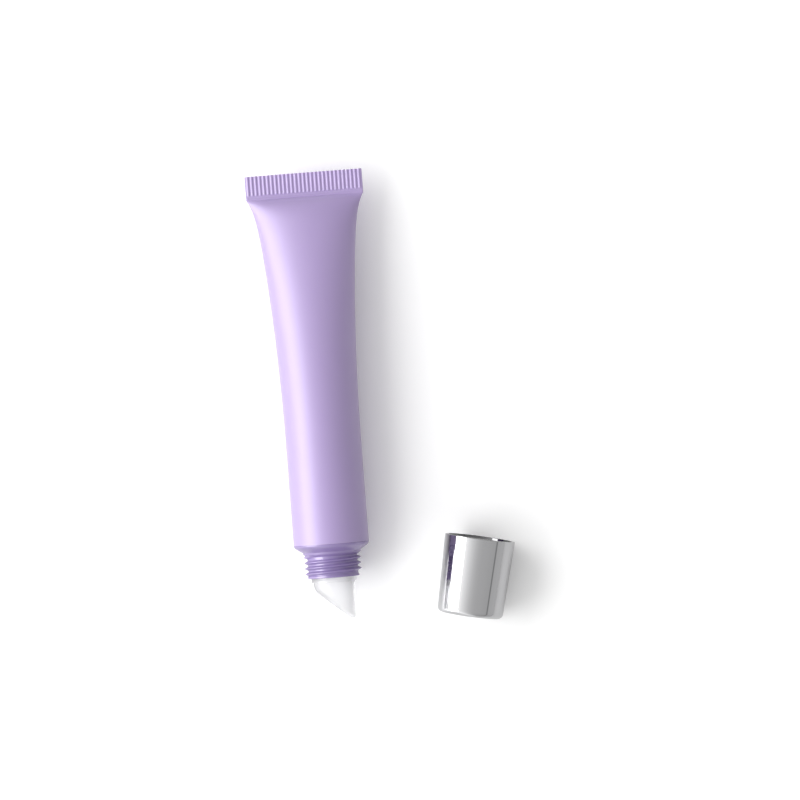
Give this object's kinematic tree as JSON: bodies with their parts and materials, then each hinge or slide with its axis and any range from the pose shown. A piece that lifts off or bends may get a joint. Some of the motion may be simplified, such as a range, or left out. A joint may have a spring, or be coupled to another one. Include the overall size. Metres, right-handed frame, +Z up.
{
  "type": "lip gloss tube",
  "caption": "Soft squeeze tube for lip gloss with a crimped seal, a threaded neck and a slanted tip, lying open beside its plated screw cap.",
  "frame": {"origin": "middle of the footprint of the open tube and its cap, on the surface that both lie on", "axes": "+Y along the tube's axis from the tip to the crimped seal, +X from the tube towards the cap, +Z up"},
  "size_m": [0.061, 0.116, 0.019],
  "materials": {
    "sleeve_plastic": "satin",
    "head_plastic": "satin",
    "tip_plastic": "satin",
    "gloss": "gloss",
    "cap_plating": "polished",
    "liner_plastic": "satin",
    "ring_foam": "matte"
  },
  "bodies": {
    "tube": {"sleeve": "sleeve_plastic", "tube_head": "head_plastic", "slant_tip": "tip_plastic", "gloss_fill": "gloss"},
    "cap_seal": {"sealing_ring": "ring_foam"},
    "cap": {"cap_shell": "cap_plating", "cap_liner": "liner_plastic"}
  },
  "joints": [
    {"name": "cap_carry", "type": "hinge", "parent": "tube", "child": "cap_seal", "pos_m": [0.19169, -0.23504, 0.0095], "axis": [-0.1181, 0.1263, 0.9849], "range_deg": [0, 12.2]},
    {"name": "cap_turn", "type": "hinge", "parent": "cap_seal", "child": "cap", "pos_m": [0.02168, -0.0371, 0.0089], "axis": [-0.2078, -0.9778, -0.0278], "continuous": true}
  ]
}
